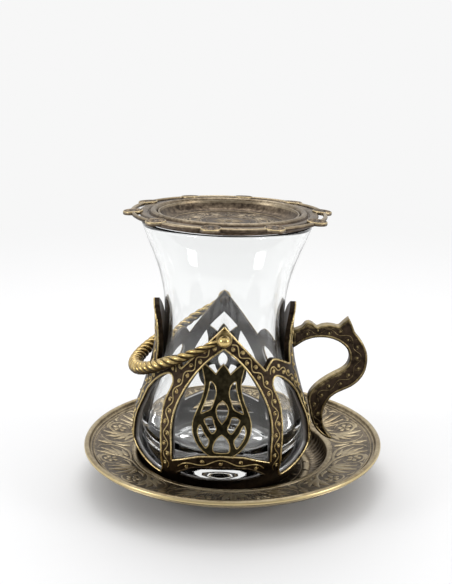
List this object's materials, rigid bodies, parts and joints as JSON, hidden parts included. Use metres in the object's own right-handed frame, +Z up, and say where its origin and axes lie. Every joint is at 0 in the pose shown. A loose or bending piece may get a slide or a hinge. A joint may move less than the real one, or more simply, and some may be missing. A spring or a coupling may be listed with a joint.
{
  "type": "turkish tea glass",
  "caption": "Tulip-waisted tea glass in an openwork metal holder with a handle and a twisted rope bail, with a garlanded lid, on an engraved saucer.",
  "frame": {"origin": "the middle of the saucer's foot, on the surface it stands on", "axes": "+Z up out of the saucer, -Y towards the front gable and its rivet, +X towards the handle"},
  "size_m": [0.11, 0.11, 0.101],
  "materials": {
    "saucer_bronze": "antique bronze plate, rubbed bright on the relief",
    "holder_bronze": "antique bronze plate, dark in the recesses",
    "rivet_brass": "worn golden plate",
    "rope_brass": "worn golden plate, dark between the strands",
    "handle_bronze": "antique bronze plate, dark in the recesses",
    "clear_glass": "clear, smooth",
    "lid_bronze": "antique bronze plate, rubbed bright on the edges"
  },
  "bodies": {
    "holder": {"saucer": "saucer_bronze", "holder": "holder_bronze", "rivet_front": "rivet_brass", "rivet_rear": "rivet_brass", "handle": "handle_bronze", "glass": "clear_glass", "lid": "lid_bronze"},
    "rope_handle": {"rope_handle": "rope_brass"}
  },
  "joints": [
    {"name": "rope_swing", "type": "hinge", "parent": "holder", "child": "rope_handle", "pos_m": [-0.00292, 0, 0.06083], "axis": [0, 1, 0], "range_deg": [0, 64]}
  ]
}
